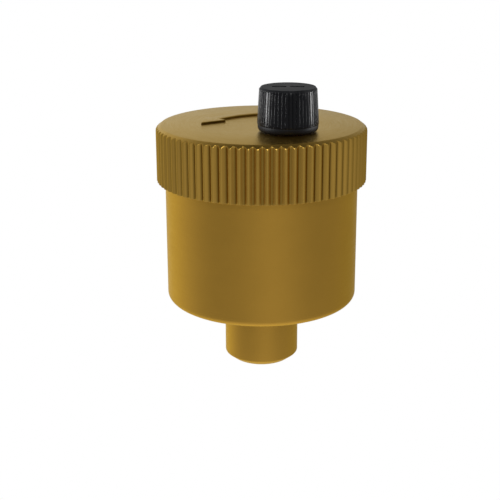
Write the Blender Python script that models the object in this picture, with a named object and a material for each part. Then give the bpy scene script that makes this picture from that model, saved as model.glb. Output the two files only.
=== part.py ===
"""Automatic air vent: a turned brass cup on a pipe spigot, closed by a knurled
screw cover. A float in the cup hangs from a lever that lets a small valve open
under the offset vent nozzle, and a ribbed dust cap screws over that nozzle.

All sizes are in millimetres; the mesh functions turn them into metres.
+Z is up, the origin is the middle of the spigot's end, and +X points from the
cup's axis to the vent nozzle. The pieces stand as the dry vent does: the float
is low, the valve is open and both screwed pieces are screwed down.
"""
import math

import bmesh
import bpy
from mathutils import Matrix, Vector

MM = 0.001
GAP = 0.3                       # clearance between pieces that meet

# ---- cup and spigot ----
SPIGOT_R = 8.33                 # 3/8 inch pipe size
SPIGOT_LENGTH = 15.0
SPIGOT_CHAMFER = 1.3
SPIGOT_END_R = 6.65
SPIGOT_BORE_R = 5.0
BODY_R = 21.3
BODY_TOP_R = 21.35
BODY_ROUND = 1.4                # rounding of the cup's lower edge
FLOOR_THICKNESS = 2.5
CAVITY_R = 18.6
CAVITY_ROUND = 1.5
THREAD_BEVEL = 0.4
NECK_R = 20.2
NECK_HEIGHT = 6.0               # threaded length inside the cover
COVER_BOTTOM_Z = 42.1
COVER_RECESS = 1.5              # the cover's skirt hides the cup's shoulder

# ---- cover ----
COVER_R = 23.2
COVER_ROOT_R = 22.6             # bottom of the grooves between the ribs
COVER_HEIGHT = 12.5
COVER_TOP_R = 22.1
COVER_EDGE_DROP = 0.65          # height of the bevel round the top
COVER_PLATE = 3.0
COVER_RIBS = 76
COVER_RIB_START = math.radians(-1.23)    # direction of the first rib
COVER_RIB_CREST = 0.2           # share of the pitch that the flat crest takes
ARROW_HEIGHT = 0.5
ARROW_R = 20.0                  # round the nozzle's axis
ARROW_WIDTH = 2.4
ARROW_HEAD = 6.0
ARROW_START = math.radians(166)
ARROW_END = math.radians(200)

# ---- vent nozzle, nut and gasket ----
NOZZLE_X = 10.4
NOZZLE_R = 2.6
NOZZLE_FLANGE_R = 3.5
NOZZLE_BORE_R = 0.9
NOZZLE_SEAT_Z = 49.4
NOZZLE_TOP_Z = 61.2
NUT_FLATS = 8.0
NUT_HEIGHT = 1.8

# ---- dust cap ----
CAP_HEIGHT = 9.2
CAP_TOP_R = 5.92
CAP_RIB_TOP_R = 6.11
CAP_RIB_FOOT_R = 6.53
CAP_RIB_DEPTH = 0.2
CAP_RIB_CREST = 0.45            # share of the pitch that the flat crest takes
CAP_SKIRT = 1.35
CAP_SKIRT_R = 6.42
CAP_FOOT_R = 5.85               # lower edge of the skirt, which is rounded in
CAP_RIBS = 50
CAP_CAVITY_R = 4.95
CAP_NUT_ROOM = 2.4              # height of the wide part of the cavity, over the nut
CAP_NOTCH_WIDTH = 1.8
CAP_NOTCH_HEIGHT = 0.55
CAP_NOTCH_ANGLE = math.radians(57.5)
CAP_SLOT_ANGLE = math.radians(56.6)
CAP_SLOT_START = 0.4            # the two slots lie on one line, either side of the middle
CAP_SLOT_END = 3.4
CAP_SLOT_WIDTH = 1.0
CAP_SLOT_DEPTH = 0.5

# ---- valve, lever and float ----
PIVOT_X = NOZZLE_X + 5.4
PIVOT_Z = 44.5
LINK_ARM = 16.6                 # from the pivot to the float's link pin
LINK_DROP = 1.4                 # how far the link eye lies under the pivot
FLOAT_TRAVEL = 3.6
LEVER_ANGLE = FLOAT_TRAVEL / LINK_ARM
VALVE_TRAVEL = (PIVOT_X - NOZZLE_X) * LEVER_ANGLE
LEVER_HALF = 1.2
PIN_R = 0.8
LINK_PIN_R = 0.6
VALVE_FLANGE_R = 3.2
SPRING_WIRE_R = 0.25
SPRING_R = 2.65
SPRING_TURNS = 3
FLOAT_R = 16.6
FLOAT_WALL = 0.9
FLOAT_BOTTOM_Z = 19.2
FLOAT_TOP_Z = 36.3
FLOAT_ROUND = 1.6
PEG_LENGTH = 2.0
YOKE_R = 5.0
YOKE_DISC = 0.9

# ---- worked out from the sizes above ----
FLOOR_Z = SPIGOT_LENGTH + FLOOR_THICKNESS
COVER_TOP_Z = COVER_BOTTOM_Z + COVER_HEIGHT
PLATE_Z = COVER_TOP_Z - COVER_PLATE             # underside of the cover's plate
SHOULDER_Z = COVER_BOTTOM_Z + COVER_RECESS - GAP
NECK_TOP_Z = SHOULDER_Z + NECK_HEIGHT
CAP_Z = COVER_TOP_Z + GAP
CAP_TOP_Z = CAP_Z + CAP_HEIGHT
O_RING_R = (CAVITY_R + NECK_R) / 2
O_RING_WIRE_R = (PLATE_Z - NECK_TOP_Z - 2 * GAP) / 2

# ---- places and sizes that several pieces share ----
PLATE_STEEL = 0.8               # thickness of the bracket's sheet
BRACKET_Z = PLATE_Z - GAP - PLATE_STEEL         # underside of the bracket's plate
BRACKET_HALF = 5.0
EAR_FACE = LEVER_HALF + GAP + PLATE_STEEL + GAP
SCREW_R = 0.8
SCREW_HEAD_R = 1.05
SCREW_HEAD = 0.8
SCREW_X = PIVOT_X
SCREW_Y = 3.8
SCREW_TOP_Z = PLATE_Z + 1.6
CAP_SEAL_R = 3.2
CAP_SEAL_HEIGHT = 0.9
CAP_SEAL_Z = NOZZLE_TOP_Z + GAP
LEVER_NOSE_R = 1.2
VALVE_FLANGE = 0.6
VALVE_NECK_R = 1.5
VALVE_SEAL_R = 2.0
VALVE_HEAD = 2.2                # height of the valve's head over its foot
VALVE_CLOSED_FOOT_Z = PIVOT_Z + 1.0 + GAP
VALVE_FOOT_Z = VALVE_CLOSED_FOOT_Z - VALVE_TRAVEL
PEG_R = 1.4
CHEEK = 1.0                     # thickness of the yoke's cheeks
CHEEK_FACE = LEVER_HALF + GAP + CHEEK + GAP
LINK_X = PIVOT_X - LINK_ARM + 0.35      # half-way along the eye's small arc
LINK_Z = (PIVOT_Z - LINK_ARM * math.sin(LEVER_ANGLE) - LINK_DROP * math.cos(LEVER_ANGLE))
NOZZLE_FLANGE_Z = NOZZLE_SEAT_Z + 1.0
SEAT_LIP = 0.3                  # the raised ring that the valve seals on
PIN_HEAD = 0.6
PIN_TAIL = 1.1                  # how far a pin's plain end stands past its clip's side
CLIP_THICKNESS = 0.5
CUT = 1.0                       # how far a cutting tool stands out of the cut


# ================= mesh tools =================

def clear_scene():
    for obj in list(bpy.data.objects):
        bpy.data.objects.remove(obj, do_unlink=True)


def material(name, red, green, blue, metallic, roughness):
    mat = bpy.data.materials.new(name)
    mat.use_nodes = True
    shader = mat.node_tree.nodes["Principled BSDF"]
    shader.inputs["Base Color"].default_value = (red, green, blue, 1.0)
    shader.inputs["Metallic"].default_value = metallic
    shader.inputs["Roughness"].default_value = roughness
    mat.diffuse_color = (red, green, blue, 1.0)
    return mat


def finish_object(name, bm, origin, mat, smooth_angle=35):
    """Make an object whose origin lies at origin; bm is in millimetres from there."""
    bmesh.ops.recalc_face_normals(bm, faces=bm.faces)
    bmesh.ops.scale(bm, vec=(MM, MM, MM), verts=bm.verts)
    mesh = bpy.data.meshes.new(name)
    bm.to_mesh(mesh)
    bm.free()
    mesh.materials.append(mat)
    mesh.shade_smooth()
    mesh.set_sharp_from_angle(angle=math.radians(smooth_angle))
    obj = bpy.data.objects.new(name, mesh)
    obj.location = Vector(origin) * MM
    bpy.context.scene.collection.objects.link(obj)
    return obj


def ring_of(bm, radius, z, segments):
    """A ring of vertices round Z, or a single vertex where the radius is zero."""
    if radius == 0:
        return [bm.verts.new((0, 0, z))]
    step = math.tau / segments
    return [bm.verts.new((radius * math.cos(i * step), radius * math.sin(i * step), z))
            for i in range(segments)]


def join_rings(bm, low, high):
    count = max(len(low), len(high))
    for i in range(count):
        j = (i + 1) % count
        if len(low) == 1:
            bm.faces.new((low[0], high[j], high[i]))
        elif len(high) == 1:
            bm.faces.new((low[i], low[j], high[0]))
        else:
            bm.faces.new((low[i], low[j], high[j], high[i]))


def turned(profile, segments, closed=False):
    """Turn (radius, z) points round Z. A closed profile makes a ring, and an open
    one starts and ends on the axis."""
    bm = bmesh.new()
    rings = [ring_of(bm, radius, z, segments) for radius, z in profile]
    for low, high in zip(rings, rings[1:]):
        join_rings(bm, low, high)
    if closed:
        join_rings(bm, rings[-1], rings[0])
    return bm


def arc(centre, radius, start, end, steps):
    """Points on an arc in a plane, with the angles in degrees."""
    points = []
    for i in range(steps + 1):
        angle = math.radians(start + (end - start) * i / steps)
        points.append((centre[0] + radius * math.cos(angle),
                       centre[1] + radius * math.sin(angle)))
    return points


def ribbed(sections, ribs, crest_share, start=0.0):
    """A solid with ribs along Z, the first of them in direction start. Each section is
    (crest radius, crest z, root radius, root z), from the bottom up, and flat discs
    close its two ends."""
    bm = bmesh.new()
    pitch = math.tau / ribs
    half_crest = crest_share * pitch / 2
    rings = []
    for crest_r, crest_z, root_r, root_z in sections:
        ring = []
        for i in range(ribs):
            middle = start + i * pitch
            for turn, radius, z in ((middle - half_crest, crest_r, crest_z),
                                    (middle + half_crest, crest_r, crest_z),
                                    (middle + pitch / 2, root_r, root_z)):
                ring.append(bm.verts.new((radius * math.cos(turn),
                                          radius * math.sin(turn), z)))
        rings.append(ring)
    for low, high in zip(rings, rings[1:]):
        join_rings(bm, low, high)
    bm.faces.new(rings[0])
    bm.faces.new(rings[-1])
    return bm


def extruded(outline, low, high, axis="Z"):
    """Extrude a closed outline. Along Z its points are (x, y); along Y they are
    (x, z)."""
    bm = bmesh.new()
    if axis == "Z":
        verts = [bm.verts.new((x, y, low)) for x, y in outline]
        travel = (0, 0, high - low)
    else:
        verts = [bm.verts.new((x, low, z)) for x, z in outline]
        travel = (0, high - low, 0)
    face = bm.faces.new(verts)
    lid = bmesh.ops.extrude_face_region(bm, geom=[face])
    moved = [item for item in lid["geom"] if isinstance(item, bmesh.types.BMVert)]
    bmesh.ops.translate(bm, vec=travel, verts=moved)
    return bm


def box(low, high):
    corners = [(low[0], low[1]), (high[0], low[1]), (high[0], high[1]), (low[0], high[1])]
    return extruded(corners, low[2], high[2])


def rod_along_y(radius, low, high, x, z, segments=20):
    outline = [(x + radius * math.cos(i * math.tau / segments),
                z + radius * math.sin(i * math.tau / segments)) for i in range(segments)]
    return extruded(outline, low, high, axis="Y")


def tool_solid(name, bm, origin=(0, 0, 0)):
    """A helper solid for a Boolean, left out of the finished part."""
    obj = finish_object(name, bm, origin, GUIDE)
    obj.hide_render = True
    obj.display_type = "WIRE"
    return obj


def combine(target, bm, operation, origin=(0, 0, 0)):
    """Join bm to the target or cut it away, with a live Boolean modifier."""
    count = len(target.modifiers) + 1
    modifier = target.modifiers.new("%s_%d" % (operation.lower(), count), "BOOLEAN")
    modifier.operation = operation
    modifier.solver = "EXACT"
    modifier.object = tool_solid("%s_tool_%d" % (target.name, count), bm, origin)


# ================= cup =================

def make_body_cup():
    foot_z = SPIGOT_LENGTH
    profile = [(SPIGOT_BORE_R, 0.0), (SPIGOT_END_R, 0.0), (SPIGOT_R, SPIGOT_CHAMFER),
               (SPIGOT_R, foot_z)]
    profile += arc((BODY_R - BODY_ROUND, foot_z + BODY_ROUND), BODY_ROUND, -90, 0, 4)
    profile += [(BODY_TOP_R, SHOULDER_Z), (NECK_R, SHOULDER_Z),
                (NECK_R, NECK_TOP_Z - THREAD_BEVEL), (NECK_R - THREAD_BEVEL, NECK_TOP_Z),
                (CAVITY_R, NECK_TOP_Z)]
    profile += arc((CAVITY_R - CAVITY_ROUND, FLOOR_Z + CAVITY_ROUND), CAVITY_ROUND, 0, -90, 3)
    profile += [(SPIGOT_BORE_R, FLOOR_Z)]
    finish_object("body_cup", turned(profile, 84, closed=True), (0, 0, 0), BRASS)


# ================= cover =================

def arrow_outline():
    """A turn arrow: an arc round the nozzle's axis that ends in a plain head."""
    steps = 10
    outer, inner = [], []
    for i in range(steps + 1):
        angle = ARROW_START + (ARROW_END - ARROW_START) * i / steps
        for points, radius in ((outer, ARROW_R + ARROW_WIDTH / 2),
                               (inner, ARROW_R - ARROW_WIDTH / 2)):
            points.append((radius * math.cos(angle), radius * math.sin(angle)))
    tip_turn = math.copysign(ARROW_HEAD / ARROW_R, ARROW_END - ARROW_START)
    tip = ARROW_END + tip_turn
    barb = ARROW_HEAD / 2
    head = [((ARROW_R + barb) * math.cos(ARROW_END), (ARROW_R + barb) * math.sin(ARROW_END)),
            (ARROW_R * math.cos(tip), ARROW_R * math.sin(tip)),
            ((ARROW_R - barb) * math.cos(ARROW_END), (ARROW_R - barb) * math.sin(ARROW_END))]
    return outer + head + inner[::-1]


def make_cover():
    edge_z = COVER_TOP_Z - COVER_EDGE_DROP
    slope = COVER_EDGE_DROP / (COVER_R - COVER_TOP_R)
    root_edge_z = COVER_TOP_Z - (COVER_ROOT_R - COVER_TOP_R) * slope
    foot_r = COVER_ROOT_R - 0.1
    sections = [(foot_r, COVER_BOTTOM_Z, foot_r, COVER_BOTTOM_Z),
                (COVER_R, COVER_BOTTOM_Z + 0.4, COVER_ROOT_R, COVER_BOTTOM_Z + 0.1),
                (COVER_R, edge_z, COVER_ROOT_R, root_edge_z),
                (COVER_TOP_R, COVER_TOP_Z, COVER_TOP_R, COVER_TOP_Z)]
    blank = ribbed(sections, COVER_RIBS, COVER_RIB_CREST, COVER_RIB_START)
    cover = finish_object("cover", blank,
                          (0, 0, 0), BRASS, smooth_angle=20)
    bore_r = NECK_R + GAP
    recess_r = BODY_TOP_R + GAP
    recess_z = COVER_BOTTOM_Z + COVER_RECESS
    hollow = [(0, COVER_BOTTOM_Z - CUT), (recess_r, COVER_BOTTOM_Z - CUT),
              (recess_r, recess_z), (bore_r, recess_z), (bore_r, PLATE_Z), (0, PLATE_Z)]
    combine(cover, turned(hollow, 72), "DIFFERENCE")
    hole_r = NOZZLE_R + GAP
    hole = [(0, PLATE_Z - CUT), (hole_r, PLATE_Z - CUT), (hole_r, COVER_TOP_Z + CUT),
            (0, COVER_TOP_Z + CUT)]
    combine(cover, turned(hole, 32), "DIFFERENCE", (NOZZLE_X, 0, 0))
    for side in (-1, 1):
        socket = [(0, PLATE_Z - CUT), (SCREW_R + GAP, PLATE_Z - CUT),
                  (SCREW_R + GAP, SCREW_TOP_Z + GAP), (0, SCREW_TOP_Z + GAP)]
        combine(cover, turned(socket, 16), "DIFFERENCE", (SCREW_X, side * SCREW_Y, 0))
    arrow = extruded(arrow_outline(), COVER_TOP_Z - 0.4, COVER_TOP_Z + ARROW_HEIGHT)
    combine(cover, arrow, "UNION", (NOZZLE_X, 0, 0))


def make_cover_o_ring():
    z = NECK_TOP_Z + GAP + O_RING_WIRE_R
    profile = arc((O_RING_R, z), O_RING_WIRE_R, 0, 315, 7)
    finish_object("cover_o_ring", turned(profile, 60, closed=True), (0, 0, 0), RUBBER,
                  smooth_angle=60)


# ================= vent nozzle =================

def make_vent_nozzle():
    mouth_r = 1.5
    lip_z = NOZZLE_SEAT_Z + SEAT_LIP
    profile = [(NOZZLE_BORE_R, NOZZLE_SEAT_Z), (mouth_r, NOZZLE_SEAT_Z),
               (mouth_r + 0.2, lip_z), (NOZZLE_FLANGE_R, lip_z),
               (NOZZLE_FLANGE_R, NOZZLE_FLANGE_Z), (NOZZLE_R, NOZZLE_FLANGE_Z),
               (NOZZLE_R, NOZZLE_TOP_Z - THREAD_BEVEL),
               (NOZZLE_R - THREAD_BEVEL, NOZZLE_TOP_Z),
               (mouth_r, NOZZLE_TOP_Z), (mouth_r, NOZZLE_TOP_Z - 3.0),
               (NOZZLE_BORE_R, NOZZLE_TOP_Z - 3.6)]
    finish_object("vent_nozzle", turned(profile, 32, closed=True), (NOZZLE_X, 0, 0), BRASS)


def make_nozzle_gasket():
    low = NOZZLE_FLANGE_Z + GAP
    high = PLATE_Z - GAP
    profile = [(NOZZLE_R + GAP, low), (NOZZLE_FLANGE_R + 0.1, low),
               (NOZZLE_FLANGE_R + 0.1, high), (NOZZLE_R + GAP, high)]
    finish_object("nozzle_gasket", turned(profile, 32, closed=True), (NOZZLE_X, 0, 0), RUBBER)


def make_nozzle_nut():
    """A thin hexagon nut under the dust cap."""
    low = COVER_TOP_Z + GAP
    corner_r = NUT_FLATS / math.sqrt(3)
    corners = [(corner_r * math.cos(math.radians(60 * i)),
                corner_r * math.sin(math.radians(60 * i))) for i in range(6)]
    nut = finish_object("nozzle_nut", extruded(corners, low, low + NUT_HEIGHT),
                        (NOZZLE_X, 0, 0), BRASS)
    hole_r = NOZZLE_R + GAP
    hole = [(0, low - CUT), (hole_r, low - CUT), (hole_r, low + NUT_HEIGHT + CUT),
            (0, low + NUT_HEIGHT + CUT)]
    combine(nut, turned(hole, 32), "DIFFERENCE", (NOZZLE_X, 0, 0))


# ================= dust cap =================

def make_vent_cap():
    skirt_top = CAP_Z + CAP_SKIRT
    edge = 0.46                 # height of the slope round the top
    face_r = CAP_TOP_R - 0.15
    root_foot = CAP_RIB_FOOT_R - CAP_RIB_DEPTH
    root_top = CAP_RIB_TOP_R - CAP_RIB_DEPTH
    bend_r = (CAP_FOOT_R + 2 * CAP_SKIRT_R) / 3
    bend_z = CAP_Z + 0.3
    sections = [(CAP_FOOT_R, CAP_Z, CAP_FOOT_R, CAP_Z), (bend_r, bend_z, bend_r, bend_z),
                (CAP_SKIRT_R, CAP_Z + 0.9, CAP_SKIRT_R, CAP_Z + 0.9),
                (CAP_SKIRT_R, skirt_top, root_foot, skirt_top),
                (CAP_RIB_FOOT_R, skirt_top + 0.25, root_foot, skirt_top + 0.02),
                (CAP_RIB_TOP_R, CAP_TOP_Z - edge, root_top, CAP_TOP_Z - edge),
                (face_r, CAP_TOP_Z, face_r, CAP_TOP_Z)]
    cap = finish_object("vent_cap", ribbed(sections, CAP_RIBS, CAP_RIB_CREST),
                        (NOZZLE_X, 0, 0), CAP_PLASTIC, smooth_angle=20)
    screw_r = NOZZLE_R + GAP
    seal_r = CAP_SEAL_R + GAP
    seal_top = CAP_SEAL_Z + CAP_SEAL_HEIGHT + GAP
    cavity = [(0, CAP_Z - CUT), (CAP_CAVITY_R, CAP_Z - CUT),
              (CAP_CAVITY_R, CAP_Z + CAP_NUT_ROOM), (screw_r, CAP_Z + CAP_NUT_ROOM + 0.6),
              (screw_r, NOZZLE_TOP_Z), (seal_r, NOZZLE_TOP_Z), (seal_r, seal_top),
              (0, seal_top)]
    combine(cap, turned(cavity, 36), "DIFFERENCE", (NOZZLE_X, 0, 0))
    reach = CAP_RIB_FOOT_R + CUT
    notch = box((-reach, -CAP_NOTCH_WIDTH / 2, CAP_Z - CUT / 2),
                (reach, CAP_NOTCH_WIDTH / 2, CAP_Z + CAP_NOTCH_HEIGHT))
    turn = Matrix.Rotation(CAP_NOTCH_ANGLE, 3, "Z")
    bmesh.ops.rotate(notch, matrix=turn, verts=notch.verts)
    combine(cap, notch, "DIFFERENCE", (NOZZLE_X, 0, 0))
    for side in (-1, 1):
        ends = (side * CAP_SLOT_START, side * CAP_SLOT_END)
        slot = box((min(ends), -CAP_SLOT_WIDTH / 2, CAP_TOP_Z - CAP_SLOT_DEPTH),
                   (max(ends), CAP_SLOT_WIDTH / 2, CAP_TOP_Z + CUT))
        turn = Matrix.Rotation(CAP_SLOT_ANGLE, 3, "Z")
        bmesh.ops.rotate(slot, matrix=turn, verts=slot.verts)
        combine(cap, slot, "DIFFERENCE", (NOZZLE_X, 0, 0))


def make_cap_seal():
    low = CAP_SEAL_Z
    high = low + CAP_SEAL_HEIGHT
    profile = [(0, low), (CAP_SEAL_R, low), (CAP_SEAL_R, high), (0, high)]
    finish_object("cap_seal", turned(profile, 32), (NOZZLE_X, 0, 0), RUBBER)


# ================= bracket and pivot =================

def make_lever_bracket():
    """A bent steel bracket: a plate screwed under the cover, with two ears."""
    ear_r = 1.6
    plate = box((PIVOT_X - ear_r, -BRACKET_HALF, BRACKET_Z),
                (PIVOT_X + ear_r + 0.1, BRACKET_HALF, BRACKET_Z + PLATE_STEEL))
    bracket = finish_object("lever_bracket", plate, (0, 0, 0), STEEL)
    ear = [(PIVOT_X + ear_r, BRACKET_Z + 0.2), (PIVOT_X - ear_r + 0.1, BRACKET_Z + 0.2)]
    ear += arc((PIVOT_X, PIVOT_Z), ear_r, 190, 350, 8)
    for side in (-1, 1):
        near = side * (LEVER_HALF + GAP)
        far = near + side * PLATE_STEEL
        combine(bracket, extruded(ear, min(near, far), max(near, far), axis="Y"), "UNION")
    reach = EAR_FACE + CUT
    combine(bracket, rod_along_y(PIN_R + GAP, -reach, reach, PIVOT_X, PIVOT_Z), "DIFFERENCE")
    for side in (-1, 1):
        hole_r = SCREW_R + GAP
        hole = [(0, BRACKET_Z - CUT), (hole_r, BRACKET_Z - CUT), (hole_r, PLATE_Z + CUT),
                (0, PLATE_Z + CUT)]
        combine(bracket, turned(hole, 16), "DIFFERENCE", (SCREW_X, side * SCREW_Y, 0))


def make_bracket_screw(number, side):
    head_top = BRACKET_Z - GAP
    head_low = head_top - SCREW_HEAD
    profile = [(0, head_low), (SCREW_HEAD_R - 0.15, head_low), (SCREW_HEAD_R, head_low + 0.2),
               (SCREW_HEAD_R, head_top), (SCREW_R, head_top), (SCREW_R, SCREW_TOP_Z - 0.2),
               (SCREW_R - 0.2, SCREW_TOP_Z), (0, SCREW_TOP_Z)]
    screw = finish_object("bracket_screw_%d" % number, turned(profile, 20),
                          (SCREW_X, side * SCREW_Y, 0), STEEL)
    slot_depth = 0.35
    slot_half = 0.15
    slot = box((-SCREW_HEAD_R - CUT, -slot_half, head_low - CUT),
               (SCREW_HEAD_R + CUT, slot_half, head_low + slot_depth))
    combine(screw, slot, "DIFFERENCE", (SCREW_X, side * SCREW_Y, 0))


def headed_pin(name, radius, head_r, face, x, z):
    """A pin along Y through two cheeks whose outer sides are at plus and minus face.
    Its head is on the low side, and its origin is on its own axis."""
    low = -face - PIN_HEAD
    high = face + PIN_TAIL
    profile = [(0, low), (head_r - 0.15, low), (head_r, low + 0.15), (head_r, -face),
               (radius, -face), (radius, high - 0.2), (radius - 0.2, high), (0, high)]
    bm = turned(profile, 20)
    bmesh.ops.rotate(bm, matrix=Matrix.Rotation(-math.pi / 2, 3, "X"), verts=bm.verts)
    finish_object(name, bm, (x, 0, z), STEEL)


def retaining_clip(name, pin_r, outer_r, low, x, z):
    """A C-shaped clip that holds a pin's plain end."""
    inner_r = pin_r + GAP
    outline = arc((0, 0), outer_r, -60, 240, 20) + arc((0, 0), inner_r, 240, -60, 20)
    clip = extruded(outline, low, low + CLIP_THICKNESS, axis="Y")
    finish_object(name, clip, (x, 0, z), STEEL)


# ================= lever, valve and spring =================

def make_float_lever():
    """The lever, drawn level as with the float up, then let down to its rest tilt.
    Its origin is on the pivot."""
    eye_r = 1.8
    reach = LEVER_HALF + CUT
    nose_x = NOZZLE_X - PIVOT_X
    outline = arc((0, 0), eye_r, -128, 160, 18)
    outline += arc((nose_x, 1.0 - LEVER_NOSE_R), LEVER_NOSE_R, -19.5, 199.5, 10)
    outline += arc((-LINK_ARM, -LINK_DROP), eye_r, 26.4, 333.6, 18)
    lever = extruded(outline, -LEVER_HALF, LEVER_HALF, axis="Y")
    tilt = Matrix.Rotation(-LEVER_ANGLE, 3, "Y")
    bmesh.ops.rotate(lever, matrix=tilt, verts=lever.verts)
    origin = (PIVOT_X, 0, PIVOT_Z)
    obj = finish_object("float_lever", lever, origin, LEVER_PLASTIC)
    combine(obj, rod_along_y(PIN_R + GAP, -reach, reach, 0, 0), "DIFFERENCE", origin)
    slot_r = LINK_PIN_R + GAP
    slot_half = 0.65
    slot = arc((-LINK_ARM + slot_half, -LINK_DROP), slot_r, -90, 90, 8)
    slot += arc((-LINK_ARM - slot_half, -LINK_DROP), slot_r, 90, 270, 8)
    cutter = extruded(slot, -reach, reach, axis="Y")
    bmesh.ops.rotate(cutter, matrix=tilt, verts=cutter.verts)
    combine(obj, cutter, "DIFFERENCE", origin)


def make_valve_stem():
    """Turned plunger: flange for the spring, head for the seal, guide needle."""
    foot = VALVE_FOOT_Z
    flange_top = foot + VALVE_FLANGE
    head_top = foot + VALVE_HEAD
    needle_r = 0.5
    needle_top = head_top + 4.6
    profile = [(0, foot), (VALVE_FLANGE_R, foot), (VALVE_FLANGE_R, flange_top),
               (VALVE_NECK_R, flange_top), (VALVE_NECK_R, flange_top + 0.8),
               (VALVE_SEAL_R, flange_top + 0.9), (VALVE_SEAL_R, head_top),
               (needle_r, head_top), (needle_r, needle_top - 0.4),
               (needle_r / 2, needle_top), (0, needle_top)]
    finish_object("valve_stem", turned(profile, 28), (NOZZLE_X, 0, 0), BRASS)


def make_valve_seal():
    low = VALVE_FOOT_Z + VALVE_HEAD + GAP
    high = low + 0.8
    inner_r = 0.8
    profile = [(inner_r, low), (VALVE_SEAL_R, low), (VALVE_SEAL_R, high), (inner_r, high)]
    finish_object("valve_seal", turned(profile, 28, closed=True), (NOZZLE_X, 0, 0), RUBBER)


def make_valve_spring():
    """A helical spring between the nozzle's flange and the valve's flange."""
    per_turn, sides = 16, 6
    low = VALVE_FOOT_Z + VALVE_FLANGE + GAP + SPRING_WIRE_R
    high = NOZZLE_SEAT_Z + SEAT_LIP - GAP - SPRING_WIRE_R
    count = SPRING_TURNS * per_turn
    bm = bmesh.new()
    rings = []
    for i in range(count + 1):
        turn = math.tau * i / per_turn
        out = Vector((math.cos(turn), math.sin(turn), 0))
        centre = out * SPRING_R + Vector((0, 0, low + (high - low) * i / count))
        ring = []
        for k in range(sides):
            angle = math.tau * k / sides
            offset = out * math.cos(angle) + Vector((0, 0, math.sin(angle)))
            ring.append(bm.verts.new(centre + offset * SPRING_WIRE_R))
        rings.append(ring)
    for first, second in zip(rings, rings[1:]):
        join_rings(bm, first, second)
    bm.faces.new(rings[0])
    bm.faces.new(rings[-1])
    finish_object("valve_spring", bm, (NOZZLE_X, 0, 0), STEEL, smooth_angle=70)


# ================= float =================

def make_float_shell():
    """The float's bell: thin walls, open below, with a socket for the yoke."""
    inner_r = FLOAT_R - FLOAT_WALL
    ceiling = FLOAT_TOP_Z - 1.0
    socket_z = FLOAT_TOP_Z - PEG_LENGTH - GAP
    boss_r = 3.2
    profile = [(0, socket_z), (PEG_R + GAP, socket_z), (PEG_R + GAP, FLOAT_TOP_Z)]
    profile += arc((FLOAT_R - FLOAT_ROUND, FLOAT_TOP_Z - FLOAT_ROUND), FLOAT_ROUND, 90, 0, 4)
    profile += [(FLOAT_R, FLOAT_BOTTOM_Z), (inner_r, FLOAT_BOTTOM_Z),
                (inner_r, ceiling - 0.7), (inner_r - 0.7, ceiling), (boss_r, ceiling),
                (boss_r, socket_z - 1.0), (0, socket_z - 1.0)]
    finish_object("float_shell", turned(profile, 60), (0, 0, 0), FLOAT_PLASTIC)


def make_float_base():
    """The dished disc that closes the float's bell."""
    rim_r = FLOAT_R - FLOAT_WALL - GAP
    low = FLOAT_BOTTOM_Z
    profile = [(0, low + 0.5), (rim_r - 1.6, low + 0.5), (rim_r - 1.1, low), (rim_r, low),
               (rim_r, low + 2.0), (rim_r - 0.8, low + 2.0), (rim_r - 0.8, low + 1.4),
               (0, low + 1.4)]
    finish_object("float_base", turned(profile, 60), (0, 0, 0), FLOAT_PLASTIC)


def make_float_yoke():
    """Two cheeks on a disc, clipped into the float's socket with a peg."""
    low = FLOAT_TOP_Z + GAP
    disc_top = low + YOKE_DISC
    peg_z = FLOAT_TOP_Z - PEG_LENGTH
    profile = [(0, peg_z), (PEG_R - 0.2, peg_z), (PEG_R, peg_z + 0.2), (PEG_R, low),
               (YOKE_R, low), (YOKE_R, disc_top), (0, disc_top)]
    yoke = finish_object("float_yoke", turned(profile, 36), (0, 0, 0), FLOAT_PLASTIC)
    eye_r = 1.8
    foot_z = disc_top - 0.3     # the cheeks start inside the disc
    cheek = [(LINK_X + eye_r, foot_z), (LINK_X + eye_r, LINK_Z)]
    cheek += arc((LINK_X, LINK_Z), eye_r, 15, 165, 8)
    cheek += [(LINK_X - eye_r, LINK_Z), (LINK_X - eye_r, foot_z)]
    for side in (-1, 1):
        near = side * (LEVER_HALF + GAP)
        far = near + side * CHEEK
        combine(yoke, extruded(cheek, min(near, far), max(near, far), axis="Y"), "UNION")
    reach = CHEEK_FACE + CUT
    combine(yoke, rod_along_y(LINK_PIN_R + GAP, -reach, reach, LINK_X, LINK_Z), "DIFFERENCE")


clear_scene()
BRASS = material("yellow_brass", 0.46, 0.27, 0.055, 1.0, 0.34)
STEEL = material("stainless_steel", 0.55, 0.55, 0.56, 1.0, 0.28)
RUBBER = material("black_rubber", 0.02, 0.02, 0.021, 0.0, 0.6)
CAP_PLASTIC = material("black_cap_plastic", 0.016, 0.016, 0.018, 0.0, 0.38)
LEVER_PLASTIC = material("white_acetal", 0.72, 0.71, 0.67, 0.0, 0.4)
FLOAT_PLASTIC = material("natural_polypropylene", 0.62, 0.6, 0.54, 0.0, 0.45)
GUIDE = material("boolean_guide", 1.0, 0.0, 0.0, 0.0, 0.5)

make_body_cup()
make_cover()
make_cover_o_ring()
make_vent_nozzle()
make_nozzle_gasket()
make_nozzle_nut()
make_vent_cap()
make_cap_seal()
make_lever_bracket()
make_bracket_screw(1, -1)
make_bracket_screw(2, 1)
headed_pin("pivot_pin", PIN_R, 1.4, EAR_FACE, PIVOT_X, PIVOT_Z)
retaining_clip("pivot_clip", PIN_R, 1.8, EAR_FACE, PIVOT_X, PIVOT_Z)
make_float_lever()
make_valve_stem()
make_valve_seal()
make_valve_spring()
make_float_shell()
make_float_base()
make_float_yoke()
headed_pin("link_pin", LINK_PIN_R, 1.1, CHEEK_FACE, LINK_X, LINK_Z)
retaining_clip("link_clip", LINK_PIN_R, 1.4, CHEEK_FACE, LINK_X, LINK_Z)
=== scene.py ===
import math

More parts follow.
